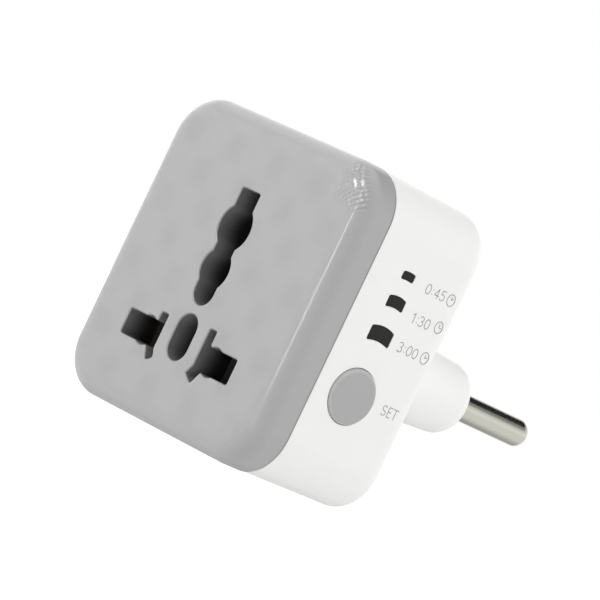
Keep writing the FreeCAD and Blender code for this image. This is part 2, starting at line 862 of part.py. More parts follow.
def bridge_rectifier():
    half = rectifier_leg_pitch / 2
    legs = [(along, side) for along in (-half, half) for side in (-1, 1)]
    return flat_package(rectifier_place, rectifier_size, legs)


def driver_transistor():
    half = transistor_leg_pitch / 2
    return flat_package(transistor_place, transistor_size, [(-half, -1), (half, -1), (0, 1)])


def zener_diode():
    return flat_package(zener_place, zener_size, [(0, -1), (0, 1)])


# Pieces behind the windows and the button

def led(number):
    """Round lamp on the display board, pointing at its window."""
    height = window_heights[number]
    face = display_board_face
    flange = rod_along_x(led_flange_radius, side_depth, height, (face, face + led_flange_thickness))
    body = rod_along_x(led_radius, side_depth, height, (face, face + led_length - led_radius))
    dome = Part.makeSphere(led_radius, place(face + led_length - led_radius, side_depth, height))
    return fused([flange, body, dome])


def light_baffle():
    """Block with one light way per window, each with a seat for its lamp."""
    half_deep = max(window_widths) / 2 + lens_margin
    top = window_heights[0] + led_flange_radius + baffle_wall / 2
    bottom = window_heights[-1] - max(window_tallness) / 2 - lens_margin
    face = display_board_face
    block = box((face, lens_inner_face), (side_depth - half_deep, side_depth + half_deep), (bottom, top))
    flange_seat = (face - 1, face + led_flange_thickness + led_clearance)
    lamp_seat = (face - 1, face + led_length + led_clearance)
    light_way = (face + led_flange_thickness, lens_inner_face + 1)
    cuts = []
    for number, height in enumerate(window_heights):
        tall = window_tallness[number] / 2 + baffle_margin
        wide = window_widths[number] / 2 + baffle_margin
        cuts.append(rod_along_x(led_flange_radius + led_clearance, side_depth, height, flange_seat))
        cuts.append(rod_along_x(led_radius + led_clearance, side_depth, height, lamp_seat))
        cuts.append(box(light_way, (side_depth - wide, side_depth + wide), (height - tall, height + tall)))
    return block.cut(cuts)


def window_lens():
    """Smoked plate behind the wall with one pad standing in each window."""
    half_deep = max(window_widths) / 2 + lens_margin
    top = window_heights[0] + window_tallness[0] / 2 + lens_margin
    bottom = window_heights[-1] - max(window_tallness) / 2 - lens_margin
    plate = box((lens_inner_face, lens_outer_face), (side_depth - half_deep, side_depth + half_deep),
                (bottom, top))
    outside = half_width - draft(side_depth) - lens_recess
    pads = [window_pad(number, lens_clearance, (lens_inner_face + lens_thickness / 2, outside))
            for number in range(len(window_heights))]
    return fused([plate] + pads)


def tact_switch():
    """Square switch body with a bore for its plunger."""
    half = switch_size / 2
    body = box((display_board_face, switch_top), (side_depth - half, side_depth + half),
               (button_height - half, button_height + half))
    body = body.makeChamfer(switch_bevel, sharp_edges_along(body, along_x))
    bore_floor = switch_top - plunger_depth - button_travel - plunger_clearance
    bore_radius = plunger_radius + plunger_clearance
    return body.cut(rod_along_x(bore_radius, side_depth, button_height, (bore_floor, switch_top + 1)))


def switch_plunger():
    reach = (switch_top - plunger_depth, switch_top + plunger_length)
    return rod_along_x(plunger_radius, side_depth, button_height, reach)


def set_button():
    """Round cap, hollow behind, with a retaining flange and a stem that rests on the plunger."""
    face = half_width - draft(side_depth) + button_proud
    flange_x = (button_rest_back - button_flange_thickness, button_rest_back)
    cap = rod_along_x(button_radius, side_depth, button_height, (flange_x[0], face))
    rim = [e for e in cap.Edges if len(e.Vertexes) == 1 and abs(e.BoundBox.Center.x - face) < 1e-6]
    cap = cap.makeFillet(button_edge_radius, rim)
    flange = rod_along_x(button_flange_radius, side_depth, button_height, flange_x)
    bore = rod_along_x(button_bore_radius, side_depth, button_height, (flange_x[0] - 1, face - button_skin))
    stem_reach = (switch_top + plunger_length, face - button_skin / 2)
    stem = rod_along_x(button_stem_radius, side_depth, button_height, stem_reach)
    return fused([fused([cap, flange]).cut(bore), stem])


def build():
    nodes = {
        "front_cover": front_cover(),
        "rear_housing": rear_housing(),
        "housing_screws": housing_screws(),
        "live_pin": plug_pin(1),
        "neutral_pin": plug_pin(-1),
        "plug_insert": plug_insert(),
        "live_lead": pin_lead(1),
        "neutral_lead": pin_lead(-1),
        "contact_carrier": contact_carrier(),
        "live_contact": spring_contact(1),
        "neutral_contact": spring_contact(-1),
        "main_board": main_board(),
        "display_board": display_board(),
        "relay_case": relay_case(),
        "relay_terminals": relay_terminals(),
        "film_capacitor": film_capacitor(),
        "electrolytic_capacitor": electrolytic_capacitor(),
        "varistor": varistor(),
        "bridge_rectifier": bridge_rectifier(),
        "dropper_resistors": dropper_resistors(),
        "thermal_fuse": thermal_fuse(),
        "zener_diode": zener_diode(),
        "driver_transistor": driver_transistor(),
        "timer_chip": timer_chip(),
        "led_0_45": led(0),
        "led_1_30": led(1),
        "led_3_00": led(2),
        "light_baffle": light_baffle(),
        "window_lens": window_lens(),
        "tact_switch": tact_switch(),
        "switch_plunger": switch_plunger(),
        "set_button": set_button(),
    }
    os.makedirs("parts", exist_ok=True)
    for name, shape in nodes.items():
        solids = len(shape.Solids)
        print(f"{name}: valid {shape.isValid()}, solids {solids}, volume {shape.Volume:.1f}")
        shape.exportStep(f"parts/{name}.step")


build()
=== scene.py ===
"""Looks of a plug-in countdown timer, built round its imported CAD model.

The socket face points along -Y, the plug's pins along +Y, and the windows, the button and the printed times
are on the +X side. Sizes in the classes are millimetres, and a mesh is turned to metres as it is made.
"""

import logging
import math
from collections.abc import Iterable
from dataclasses import dataclass, field
from enum import Enum
from typing import Any, Union

import bpy
import numpy as np
from mathutils import Matrix


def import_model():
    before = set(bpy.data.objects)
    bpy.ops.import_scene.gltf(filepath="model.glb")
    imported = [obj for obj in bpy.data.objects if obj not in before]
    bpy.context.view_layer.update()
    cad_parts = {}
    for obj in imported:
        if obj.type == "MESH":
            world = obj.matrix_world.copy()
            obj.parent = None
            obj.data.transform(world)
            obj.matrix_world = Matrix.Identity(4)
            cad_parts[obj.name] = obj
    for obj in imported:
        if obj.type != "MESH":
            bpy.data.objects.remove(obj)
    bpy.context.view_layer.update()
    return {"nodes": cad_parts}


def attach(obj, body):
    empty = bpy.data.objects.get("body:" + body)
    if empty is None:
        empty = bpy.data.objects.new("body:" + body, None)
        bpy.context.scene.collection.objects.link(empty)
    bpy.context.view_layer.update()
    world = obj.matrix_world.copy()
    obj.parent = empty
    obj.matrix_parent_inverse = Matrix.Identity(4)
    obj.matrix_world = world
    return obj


log = logging.getLogger("timer")

MM = 0.001
Colour = tuple[float, float, float, float]
Number = Union["Signal", float]
Pair = tuple[float, float]
WHITE: Colour = (1.0, 1.0, 1.0, 1.0)
WHOLE_TURN: Pair = (90.0, 450.0)

# Corners of a square of half width 1, in order
SQUARE = np.array([[-1.0, -1.0], [1.0, -1.0], [1.0, 1.0], [-1.0, 1.0]])

# Places of the body in the frame, in millimetres
FRONT_Y = -49.9
MIDDLE_Z = 2.5
HALF_WIDTH = 27.0
COVER_DEPTH = 7.1
BODY_DEPTH = 29.9
BUTTON_DEPTH = 15.5
BUTTON_HEIGHT = -8.37


def paint(red: float, green: float, blue: float) -> Colour:
    """Turns the screen levels of a colour, 0 to 255, to the linear values that a shader takes.

    Args:
        red: Red level.
        green: Green level.
        blue: Blue level.

    Returns:
        The linear colour with full opacity.
    """
    levels = np.array([red, green, blue]) / 255.0
    linear = np.where(levels <= 0.04045, levels / 12.92, ((levels + 0.055) / 1.055) ** 2.4)
    return (float(linear[0]), float(linear[1]), float(linear[2]), 1.0)


def grey(level: float) -> Colour:
    """Neutral colour of one screen level."""
    return paint(level, level, level)


def shaded(colour: Colour, share: float) -> Colour:
    """The colour made darker or lighter by a share."""
    return (colour[0] * share, colour[1] * share, colour[2] * share, 1.0)


class Signal:
    """Output of a shader node, with arithmetic: each operator adds one Math node."""

    def __init__(self, bench: "Bench", socket: bpy.types.NodeSocket) -> None:
        """Keeps the node tree's bench and the socket."""
        self.bench = bench
        self.socket = socket

    def _join(self, operation: str, *values: Number) -> "Signal":
        """Adds a Math node that does one operation on the values."""
        return self.bench.signal("ShaderNodeMath", {"operation": operation}, dict(enumerate(values)))

    def __add__(self, other: Number) -> "Signal":
        """Sum."""
        return self._join("ADD", self, other)

    def __radd__(self, other: Number) -> "Signal":
        """Sum with a number on the left."""
        return self._join("ADD", other, self)

    def __sub__(self, other: Number) -> "Signal":
        """Difference."""
        return self._join("SUBTRACT", self, other)

    def __rsub__(self, other: Number) -> "Signal":
        """Difference from a number on the left."""
        return self._join("SUBTRACT", other, self)

    def __mul__(self, other: Number) -> "Signal":
        """Product."""
        return self._join("MULTIPLY", self, other)

    def __rmul__(self, other: Number) -> "Signal":
        """Product with a number on the left."""
        return self._join("MULTIPLY", other, self)

    def __truediv__(self, other: Number) -> "Signal":
        """Quotient."""
        return self._join("DIVIDE", self, other)

    def __mod__(self, other: float) -> "Signal":
        """Remainder, positive also for negative values."""
        return self._join("FLOORED_MODULO", self, other)

    def floor(self) -> "Signal":
        """Largest whole number that isn't above the value."""
        return self._join("FLOOR", self)

    def sine(self) -> "Signal":
        """Sine of the value in radians."""
        return self._join("SINE", self)

    def size(self) -> "Signal":
        """Value without its sign."""
        return self._join("ABSOLUTE", self)

    def highest(self, other: Number) -> "Signal":
        """The larger of two values."""
        return self._join("MAXIMUM", self, other)

    def lowest(self, other: Number) -> "Signal":
        """The smaller of two values."""
        return self._join("MINIMUM", self, other)

    def glide(self, reach: Pair, ends: Pair) -> "Signal":
        """Goes smoothly from the first end to the second while the value crosses the reach."""
        return self.ramp(*reach) * (ends[1] - ends[0]) + ends[0]

    def ramp(self, low: float, high: float) -> "Signal":
        """Rises smoothly from 0 at low to 1 at high.

        Args:
            low: Value that gives 0.
            high: Value that gives 1.

        Returns:
            The eased share.
        """
        settings = {"interpolation_type": "SMOOTHSTEP"}
        return self.bench.signal("ShaderNodeMapRange", settings, {0: self, 1: low, 2: high, 3: 0.0, 4: 1.0})


class Bench:
    """Node tree of one material or world, filled by expressions."""

    def __init__(self, tree: bpy.types.NodeTree) -> None:
        """Empties the tree and keeps it."""
        self.tree = tree
        tree.nodes.clear()

    def node(self, kind: str, settings: dict[str, Any] | None = None,
             inputs: dict[Any, Any] | None = None) -> bpy.types.Node:
        """Adds any node.

        Args:
            kind: Blender's type name of the node.
            settings: Properties of the node, set first.
            inputs: Values or signals of its sockets, by name or number.

        Returns:
            The node.
        """
        node = self.tree.nodes.new(kind)
        for name, value in (settings or {}).items():
            setattr(node, name, value)
        for key, value in (inputs or {}).items():
            if isinstance(value, Signal):
                self.tree.links.new(value.socket, node.inputs[key])
            else:
                node.inputs[key].default_value = value
        return node

    def signal(self, kind: str, settings: dict[str, Any] | None = None,
               inputs: dict[Any, Any] | None = None, output: int | str = 0) -> Signal:
        """Adds any node and gives one of its outputs.

        Args:
            kind: Blender's type name of the node.
            settings: Properties of the node.
            inputs: Values or signals of its sockets.
            output: Name or number of the output.

        Returns:
            The output as a signal.
        """
        return Signal(self, self.node(kind, settings, inputs).outputs[output])

    def shader(self, kind: str, inputs: dict[Any, Any]) -> Signal:
        """Adds a shader node and gives its output."""
        return self.signal("ShaderNode" + kind, None, inputs)

    def choice(self, factor: Number, first: Signal, second: Signal) -> Signal:
        """Shader that goes from first to second as the factor goes from 0 to 1."""
        return self.shader("MixShader", {0: factor, 1: first, 2: second})

    def millimetres(self) -> Signal:
        """Place on the object in millimetres."""
        place = self.signal("ShaderNodeTexCoord", output="Object")
        return self.signal("ShaderNodeVectorMath", {"operation": "SCALE"}, {0: place, "Scale": 1.0 / MM})

    def axes(self, vector: Signal) -> list[Signal]:
        """The three parts of a vector."""
        split = self.node("ShaderNodeSeparateXYZ", inputs={0: vector})
        return [Signal(self, socket) for socket in split.outputs]

    def stretched(self, vector: Signal, scale: tuple[float, float, float]) -> Signal:
        """The vector with each part scaled."""
        return self.signal("ShaderNodeVectorMath", {"operation": "MULTIPLY"}, {0: vector, 1: scale})

    def distance(self, vector: Signal, other: tuple[float, float, float]) -> Signal:
        """Distance between a place and a fixed one."""
        ends = {0: vector, 1: other}
        return self.signal("ShaderNodeVectorMath", {"operation": "DISTANCE"}, ends, "Value")

    def noise(self, vector: Signal, size: float, detail: float = 3.0) -> Signal:
        """Cloudy noise about a half.

        Args:
            vector: Place in millimetres.
            size: Rough width of its clouds in millimetres.
            detail: Number of finer layers.

        Returns:
            The noise, 0 to 1.
        """
        return self.signal("ShaderNodeTexNoise", None, {
            "Vector": vector, "Scale": 1.0 / size, "Detail": detail})

    def blend(self, factor: Number, first: Signal | Colour, second: Signal | Colour) -> Signal:
        """Colour that goes from first to second as the factor goes from 0 to 1."""
        return self.signal("ShaderNodeMix", {"data_type": "RGBA"}, {0: factor, 6: first, 7: second}, 2)

    def relief(self, height: Signal, depth: float) -> Signal:
        """Normal of a surface with fine relief.

        Args:
            height: Relief, 0 to 1.
            depth: What a height of 1 measures, in millimetres.

        Returns:
            The bent normal.
        """
        return self.signal("ShaderNodeBump", None, {
            "Height": height, "Strength": 1.0, "Distance": depth * MM})

    def finish(self, shader: Signal, target: str = "ShaderNodeOutputMaterial") -> None:
        """Links a shader to the tree's output."""
        self.node(target, None, {"Surface": shader})


def new_material(name: str) -> tuple[bpy.types.Material, Bench]:
    """Makes a material with an empty node tree.

    Args:
        name: The material's name.

    Returns:
        The material and the bench of its tree.
    """
    material = bpy.data.materials.new(name)
    material.use_nodes = True
    return material, Bench(material.node_tree)


@dataclass(frozen=True)
class Moulding:
    """Moulded plastic: fine spark grain, a slow drift of tone and a slightly uneven gloss.

    Grain, wave and the clouds are widths in millimetres. The grain has grain_share of the relief and the
    wave has the rest. The gloss varies by gloss_spread of the roughness. Bending is the index of refraction.
    """

    name: str
    colour: Colour
    roughness: float
    grain: float = 0.35
    grain_share: float = 0.6
    grain_depth: float = 0.0015
    wave: float = 12.0
    drift: float = 0.03
    drift_cloud: float = 9.0
    gloss_cloud: float = 3.0
    gloss_spread: float = 0.3
    coat: float = 0.0
    coat_roughness: float = 0.03
    bending: float = 1.5

    @property
    def title(self) -> str:
        """Name of the finish's material, apart from the plain one that comes with the frame."""
        return self.name + "_finish"

    def height(self, bench: Bench, place: Signal) -> Signal:
        """Relief of the surface: fine grain over a very slow waviness.

        Args:
            bench: Bench of the material.
            place: Place in millimetres.

        Returns:
            The relief, 0 to 1.
        """
        fine = bench.noise(place, self.grain)
        slow = bench.noise(place, self.wave, detail=1.0)
        return fine * self.grain_share + slow * (1.0 - self.grain_share)

    def tone(self, bench: Bench, place: Signal) -> Signal:
        """Share by which the colour goes from its darker to its lighter shade."""
        return bench.noise(place, self.drift_cloud, detail=2.0)

    def drifting(self, bench: Bench, share: Signal) -> Signal:
        """Colour between the darker shade at a share of 0 and the lighter one at 1."""
        darker, lighter = (shaded(self.colour, 1.0 + side * self.drift) for side in (-1, 1))
        return bench.blend(share, darker, lighter)

    def uneven(self, clouds: Signal) -> Signal:
        """Roughness that follows clouds about a half."""
        lowest = (1.0 - self.gloss_spread / 2.0) * self.roughness
        return clouds * (self.gloss_spread * self.roughness) + lowest

    def with_painted_light(self, bench: Bench, place: Signal, colour: Signal) -> Signal:
        """Colour with painted shade or painted highlight: a plain moulding has none."""
        return colour

    def make(self) -> bpy.types.Material:
        """Builds the material.

        Returns:
            The material.
        """
        material, bench = new_material(self.title)
        place = bench.millimetres()
        colour = self.drifting(bench, self.tone(bench, place))
        bench.finish(bench.shader("BsdfPrincipled", {
            "Base Color": self.with_painted_light(bench, place, colour),
            "Roughness": self.uneven(bench.noise(place, self.gloss_cloud)),
            "Normal": bench.relief(self.height(bench, place), self.grain_depth),
            "IOR": self.bending,
            "Coat Weight": self.coat,
            "Coat Roughness": self.coat_roughness,
        }))
        return material


@dataclass(frozen=True)
class TiledMoulding(Moulding):
    """Glossy moulding whose face is a board of squares, each ridged along one of its two diagonals.

    Relief is counted in depths of a ridge. A field is a pair of distances from the face's middle. A fade, a
    mouth, a fall or a seam is a pair of depths behind the face; the mouth, the fall and the seam bound the
    painted shade in the holes and along the seam. The effect starts at the first of a pair and is full at
    the second.
    """

    square: float = 5.9
    ridge: float = 0.5
    start: Pair = (0.45, 19.55)
    fade: Pair = (0.05, 0.5)
    stud: float = 1.15
    stud_share: float = 14.0
    stud_rest: float = 1.5
    stud_field: Pair = (18.2, 20.6)
    stud_fade: Pair = (1.4, 2.4)
    patch: Pair = (-0.2, 0.9)
    blotch: float = 2.6
    drift_cloud: float = 7.0
    drift_share: float = 0.4
    drift_middle: float = 0.7
    hole_field: Pair = (17.5, 18.5)
    hole_mouth: Pair = (0.0, 0.25)
    mouth_painted_shade: float = 0.72
    hole_fall: Pair = (0.5, 5.5)
    hole_painted_shade: float = 0.07
    seam: Pair = (6.88, 7.0)
    seam_painted_shade: float = 0.42

    def flatness(self, bench: Bench, place: Signal) -> Signal:
        """Share of the pattern that remains: all on the flat face, none past its rounded edge."""
        _, depth, _ = bench.axes(place)
        return 1.0 - (depth - FRONT_Y).ramp(*self.fade)

    def ridges(self, bench: Bench, place: Signal) -> Signal:
        """Ridges: a sine of x + z on every other square, and of x - z on the rest.

        Args:
            bench: Bench of the material.
            place: Place in millimetres.

        Returns:
            Their height, 0 to 1.
        """
        across, _, up = bench.axes(place)
        column = ((across - self.start[0]) / self.square).floor()
        row = ((up - self.start[1]) / self.square).floor()
        odd = (column + row) % 2.0
        turn = 2.0 * math.pi / (self.ridge * math.sqrt(2.0))
        rising = ((across + up) * turn).sine()
        falling = ((across - up) * turn).sine()
        return (rising * odd + falling * (1.0 - odd)) * 0.5 + 0.5

    def studs(self, bench: Bench, place: Signal) -> Signal:
        """Studs on the four rounded corners, high on the +X +Z one: a product of sines of x and z.

        Args:
            bench: Bench of the material.
            place: Place in millimetres.

        Returns:
            Their height, in depths of a ridge.
        """
        across, depth, up = bench.axes(place)
        turn = 2.0 * math.pi / self.stud
        grid = (across * turn).sine() * (up * turn).sine() * 0.5 + 0.5
        rise = up - MIDDLE_Z
        every = across.size().lowest(rise.size()).ramp(*self.stud_field)
        bold = across.lowest(rise).ramp(*self.stud_field)
        held = 1.0 - (depth - FRONT_Y).ramp(*self.stud_fade)
        return grid * held * (every * self.stud_rest + bold * self.stud_share)

    def height(self, bench: Bench, place: Signal) -> Signal:
        """Ridges on the flat face and studs on its corners."""
        return self.ridges(bench, place) * self.flatness(bench, place) + self.studs(bench, place)

    def tone(self, bench: Bench, place: Signal) -> Signal:
        """Every other square a little darker about its middle, where a product of two sines is high.

        Args:
            bench: Bench of the material.
            place: Place in millimetres.

        Returns:
            The share by which the colour goes from its darker to its lighter shade.
        """
        across, _, up = bench.axes(place)
        turn = math.pi / self.square
        waves = ((across - self.start[0]) * turn).sine() * ((up - self.start[1]) * turn).sine()
        patches = waves.ramp(*self.patch) * bench.noise(place, self.blotch, detail=2.0)
        slow = bench.noise(place, self.drift_cloud, detail=2.0) * self.drift_share + self.drift_middle
        return slow - patches * self.flatness(bench, place)

    def with_painted_light(self, bench: Bench, place: Signal, colour: Signal) -> Signal:
        """Painted shade in the guide walls and seam: the colour falls with depth in the holes, and stays on
        the sides.

        Args:
            bench: Bench of the material.
            place: Place in millimetres.
            colour: Colour before the painted shade.

        Returns:
            The colour with painted shade.
        """
        across, depth, up = bench.axes(place)
        spread = across.size().highest((up - MIDDLE_Z).size())
        inside = 1.0 - spread.ramp(*self.hole_field)
        behind = depth - FRONT_Y
        # Painted shade: darker at the holes' mouths, darker still deeper in the holes, and darker at the
        # seam.
        steps = (
            (inside * behind.ramp(*self.hole_mouth), self.mouth_painted_shade),
            (inside * behind.ramp(*self.hole_fall), self.hole_painted_shade),
            (behind.ramp(*self.seam), self.seam_painted_shade),
        )
        for factor, share in steps:
            colour = bench.blend(factor, colour, shaded(self.colour, share))
        return colour


@dataclass(frozen=True)
class Shell(Moulding):
    """White moulding with painted shade at the bottom of the seam along its front edge."""

    seam: Pair = (0.08, 0.24)
    seam_painted_shade: float = 0.45

    def with_painted_light(self, bench: Bench, place: Signal, colour: Signal) -> Signal:
        """Painted shade within the seam's bevel, then the plain colour.

        Args:
            bench: Bench of the material.
            place: Place in millimetres.
            colour: Colour before the painted shade.

        Returns:
            The colour with painted shade.
        """
        _, depth, _ = bench.axes(place)
        # Painted shade: the seam's bevel is darker than the rest of the housing.
        beyond_seam_shade = (depth - (FRONT_Y + COVER_DEPTH)).ramp(*self.seam)
        return bench.blend(beyond_seam_shade, shaded(self.colour, self.seam_painted_shade), colour)


@dataclass(frozen=True)
class Cap(Moulding):
    """Moulded round cap with a painted highlight on its rounded rim, strongest on the side towards the
    socket face.

    The painted highlight ring's middle lies off the cap's axis by the shift, in y and z.
    """

    shift: Pair = (0.2, -0.18)
    rim: Pair = (4.2, 4.7)
    rim_painted_highlight: float = 1.22

    def with_painted_light(self, bench: Bench, place: Signal, colour: Signal) -> Signal:
        """Painted highlight towards the rim, by the square of the distance from the ring's middle.

        Args:
            bench: Bench of the material.
            place: Place in millimetres.
            colour: Colour before the painted highlight.

        Returns:
            The colour with the painted highlight on the rim.
        """
        _, depth, up = bench.axes(place)
        aside = depth - (FRONT_Y + BUTTON_DEPTH + self.shift[0])
        above = up - (MIDDLE_Z + BUTTON_HEIGHT + self.shift[1])
        # Painted highlight: lighter towards the rim, with its middle off centre towards the socket face.
        out = (aside * aside + above * above).ramp(self.rim[0] ** 2, self.rim[1] ** 2)
        return bench.blend(out, colour, shaded(self.colour, self.rim_painted_highlight))


@dataclass(frozen=True)
class Plated(Moulding):
    """Plated or bare metal with fine lines round or along a turned or drawn piece."""

    stretch: tuple[float, float, float] = (0.15, 6.0, 0.15)
    metallic: float = 1.0
    drift_cloud: float = 4.0
    gloss_spread: float = 0.5

    def make(self) -> bpy.types.Material:
        """Builds the material.

        Returns:
            The material.
        """
        material, bench = new_material(self.title)
        place = bench.millimetres()
        lines = bench.noise(bench.stretched(place, self.stretch), 1.0, detail=4.0)
        bench.finish(bench.shader("BsdfPrincipled", {
            "Base Color": self.drifting(bench, bench.noise(place, self.drift_cloud)),
            "Roughness": self.uneven(lines),
            "Normal": bench.relief(lines, self.grain_depth),
            "Metallic": self.metallic,
        }))
        return material


@dataclass(frozen=True)
class Clear(Moulding):
    """Tinted clear plastic or resin, with a faint haze in its gloss."""

    clearness: float = 0.5
    drift: float = 0.2
    gloss_cloud: float = 1.5
    haze: float = 0.04

    def make(self) -> bpy.types.Material:
        """Builds the material.

        Returns:
            The material.
        """
        material, bench = new_material(self.title)
        place = bench.millimetres()
        bench.finish(bench.shader("BsdfPrincipled", {
            "Base Color": self.drifting(bench, self.tone(bench, place)),
            "Roughness": bench.noise(place, self.gloss_cloud) * self.haze + self.roughness,
            "Normal": bench.relief(self.height(bench, place), self.grain_depth),
            "IOR": self.bending,
            "Transmission Weight": self.clearness,
        }))
        return material


@dataclass(frozen=True)
class Laminate(Moulding):
    """Circuit board: lacquer over a glass weave, with tracks that show as slightly raised lighter bands.

    A track is as wide as track says, and strays by up to wander over clouds as wide as the wave. Tracks have
    track_share of the grain's depth, and the weave has weave_share.
    """

    weave: float = 0.6
    weave_share: float = 0.1
    weave_gloss: float = 0.04
    track: float = 1.6
    track_edge: Pair = (0.05, 0.2)
    track_share: float = 0.8
    track_tone: float = 1.6
    wander: float = 4.0
    wave: float = 10.0
    grain_depth: float = 0.035
    across_axis: int = 0

    def make(self) -> bpy.types.Material:
        """Builds the material.

        Returns:
            The material.
        """
        material, bench = new_material(self.title)
        place = bench.millimetres()
        parts = bench.axes(place)
        first, second = parts[self.across_axis], parts[2]
        turn = 2.0 * math.pi / self.weave
        weave = (first * turn).sine() * (second * turn).sine()
        bend = bench.noise(place, self.wave, detail=1.0) * self.wander
        pitch = math.pi / self.track
        tracks = (((first + bend) * pitch).sine() * ((second - bend) * pitch).sine()).ramp(*self.track_edge)
        bench.finish(bench.shader("BsdfPrincipled", {
            "Base Color": bench.blend(tracks, self.colour, shaded(self.colour, self.track_tone)),
            "Roughness": weave * self.weave_gloss + self.roughness,
            "Normal": bench.relief(tracks * self.track_share + weave * self.weave_share, self.grain_depth),
        }))
        return material


class Palette(Enum):
    """Every finish of the timer."""

    COVER = TiledMoulding("cover_grey", grey(165), 0.3, grain_depth=0.015, drift=0.055, coat=0.4)
    HOUSING = Shell("housing_white", paint(242, 242, 240), 0.38, grain_depth=0.0008, drift=0.004)
    BUTTON = Cap("button_grey", grey(168), 0.3, grain=0.25, grain_depth=0.001, drift=0.015, coat=0.4)
    LENS = Clear("lens_smoke", grey(24), 0.1, grain_depth=0.0004, clearness=0.25, bending=1.36)
    PIN = Plated("pin_nickel", paint(212, 212, 201), 0.2, grain_depth=0.002, drift=0.02)
    BRASS = Plated("contact_brass", paint(196, 162, 94), 0.36, grain_depth=0.003, drift=0.05,
                   stretch=(0.3, 0.3, 8.0))
    CARRIER = Moulding("carrier_black", paint(20, 20, 21), 0.5, grain_depth=0.003)
    IVORY = Moulding("insulator_ivory", paint(222, 216, 200), 0.5, grain_depth=0.003)
    BROWN = Moulding("lead_brown", paint(112, 66, 40), 0.42, grain=0.8)
    BLUE = Moulding("lead_blue", paint(40, 92, 168), 0.42, grain=0.8)
    BOARD = Laminate("board_green", paint(26, 92, 52), 0.34)
    UPRIGHT_BOARD = Laminate("board_green_upright", paint(26, 92, 52), 0.34, across_axis=1)
    RELAY = Moulding("relay_blue", paint(46, 104, 176), 0.4, grain_depth=0.002)
    TIN = Plated("terminal_tin", paint(205, 205, 203), 0.35, grain_depth=0.003, drift=0.06,
                 stretch=(5.0, 0.3, 5.0))
    FILM = Moulding("film_yellow", paint(224, 186, 62), 0.34, grain_depth=0.004, drift=0.05)
    CAN = Moulding("can_black", paint(30, 30, 36), 0.22, grain_depth=0.001, coat=0.4)
    VARISTOR = Moulding("varistor_blue", paint(38, 70, 168), 0.3, grain=1.2, grain_depth=0.02, drift=0.08)
    CHIP = Moulding("chip_black", paint(36, 36, 37), 0.55, grain=0.15, grain_depth=0.004)
    FUSE = Moulding("fuse_body", paint(210, 200, 170), 0.4, grain=0.6, grain_depth=0.004, drift=0.06)
    LED = Clear("led_clear", paint(232, 96, 70), 0.06, clearness=0.6)
    SWITCH = Moulding("switch_black", grey(40), 0.5, grain_depth=0.003)
    ZINC = Plated("screw_zinc", paint(196, 198, 196), 0.32, grain_depth=0.004, drift=0.06,
                  stretch=(0.4, 5.0, 0.4))
    INK = Moulding("print_grey", paint(138, 139, 141), 0.6, grain=0.08, grain_depth=0.002, drift=0.12)

    @property
    def material(self) -> bpy.types.Material:
        """The finish's material, made at its first use."""
        return bpy.data.materials.get(self.value.title) or self.value.make()


def surface_piece(name: str, grids: list[np.ndarray], finish: Palette) -> bpy.types.Object:
    """Makes one mesh of closed tubes.

    Each grid holds points in millimetres, first along the tube and then round it. Neighbours in both
    directions are joined by quads, the last point round to the first, and each end is closed by one face.

    Args:
        name: Name of the piece.
        grids: One array of points for each tube, shaped along, round, 3.
        finish: Its finish.

    Returns:
        The piece, in metres.
    """
    points: list[np.ndarray] = []
    faces: list[list[int]] = []
    first = 0
    for grid in grids:
        along, around = grid.shape[:2]
        index = first + np.arange(along * around).reshape(along, around)
        ahead = np.roll(index, -1, axis=1)
        quads = np.stack([index[:-1], ahead[:-1], ahead[1:], index[1:]], axis=-1)
        faces += quads.reshape(-1, 4).tolist() + [index[0, ::-1].tolist(), index[-1].tolist()]
        points.append(grid.reshape(-1, 3))
        first += along * around
    mesh = bpy.data.meshes.new(name)
    mesh.from_pydata((np.concatenate(points) * MM).tolist(), [], faces)
    mesh.validate()
    mesh.materials.append(finish.material)
    piece = bpy.data.objects.new(name, mesh)
    bpy.context.scene.collection.objects.link(piece)
    return piece


def arc(centre: Pair, radii: Pair, turn: Pair, steps: int) -> np.ndarray:
    """Points of an elliptic arc: the centre plus the radii times the cosine and sine of the angle.

    Args:
        centre: Centre of the ellipse.
        radii: Its half width and half height.
        turn: First and last angle in degrees.
        steps: Number of points.

    Returns:
        The points, shaped steps, 2.
    """
    angle = np.radians(np.linspace(turn[0], turn[1], steps))
    return np.stack([centre[0] + radii[0] * np.cos(angle), centre[1] + radii[1] * np.sin(angle)], axis=-1)


def straight(*bends: Pair) -> np.ndarray:
    """Bends and ends of a straight-sided stroke as points."""
    return np.array(bends, float)


@dataclass(frozen=True, eq=False)
class Character:
    """One character as strokes of a thin line, 1 high, standing on 0, and the width that it takes."""

    width: float
    strokes: tuple[np.ndarray, ...]


